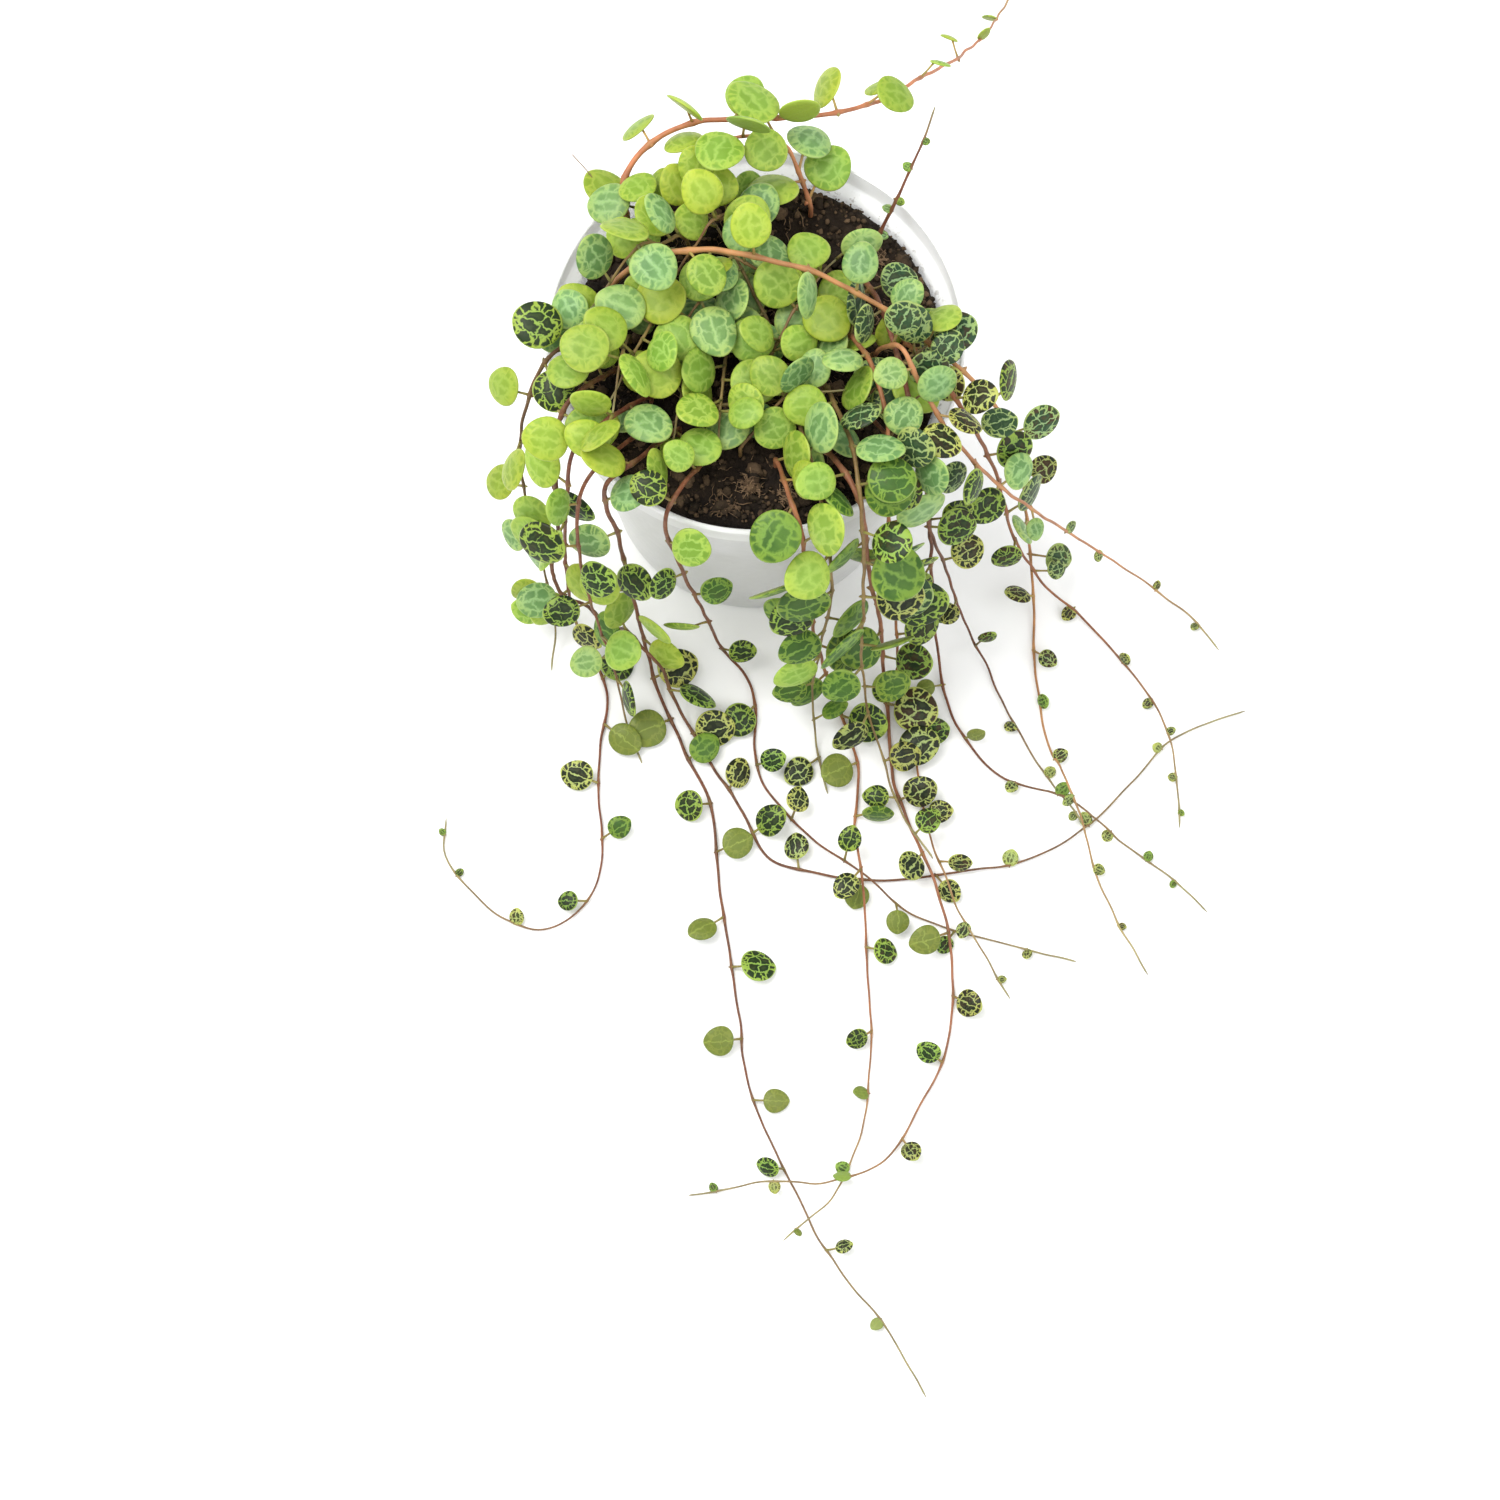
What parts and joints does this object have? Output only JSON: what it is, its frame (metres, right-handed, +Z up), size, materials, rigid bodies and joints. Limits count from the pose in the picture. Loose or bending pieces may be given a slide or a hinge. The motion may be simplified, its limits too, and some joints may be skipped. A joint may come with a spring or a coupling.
{
  "type": "potted string of turtles",
  "caption": "Thin round nursery pot filled with soil, with a mound of round leaves and long leafy stems that spill over the rim and lie along the surface.",
  "frame": {"origin": "centre of the flat underside of the pot, on the surface that it stands on", "axes": "+Z up through the pot; -Y is the front, where the long stems trail out; +X is to the right as seen from the front"},
  "size_m": [0.2126, 0.4099, 0.1285],
  "materials": {
    "pot": "satin",
    "soil": "matte",
    "foliage": "satin"
  },
  "bodies": {
    "root": {"arch_back": "foliage", "cluster_centre": "foliage", "cluster_centre_left": "foliage", "cluster_far_left": "foliage", "cluster_left": "foliage", "mound_01": "foliage", "mound_02": "foliage", "mound_03": "foliage", "mound_04": "foliage", "mound_05": "foliage", "mound_06": "foliage", "mound_07": "foliage", "mound_08": "foliage", "mound_09": "foliage", "mound_10": "foliage", "mound_11": "foliage", "mound_12": "foliage", "mound_13": "foliage", "mound_14": "foliage", "pot": "pot", "shoot_back_right": "foliage", "soil": "soil", "vine_back_long": "foliage", "vine_centre": "foliage", "vine_cross_right": "foliage", "vine_front_left": "foliage", "vine_front_long": "foliage", "vine_front_sweep": "foliage", "vine_left_hook": "foliage", "vine_orange": "foliage", "vine_right_high": "foliage", "vine_right_inner": "foliage", "vine_right_middle": "foliage", "vine_right_outer": "foliage", "vine_right_red": "foliage"}
  },
  "joints": []
}
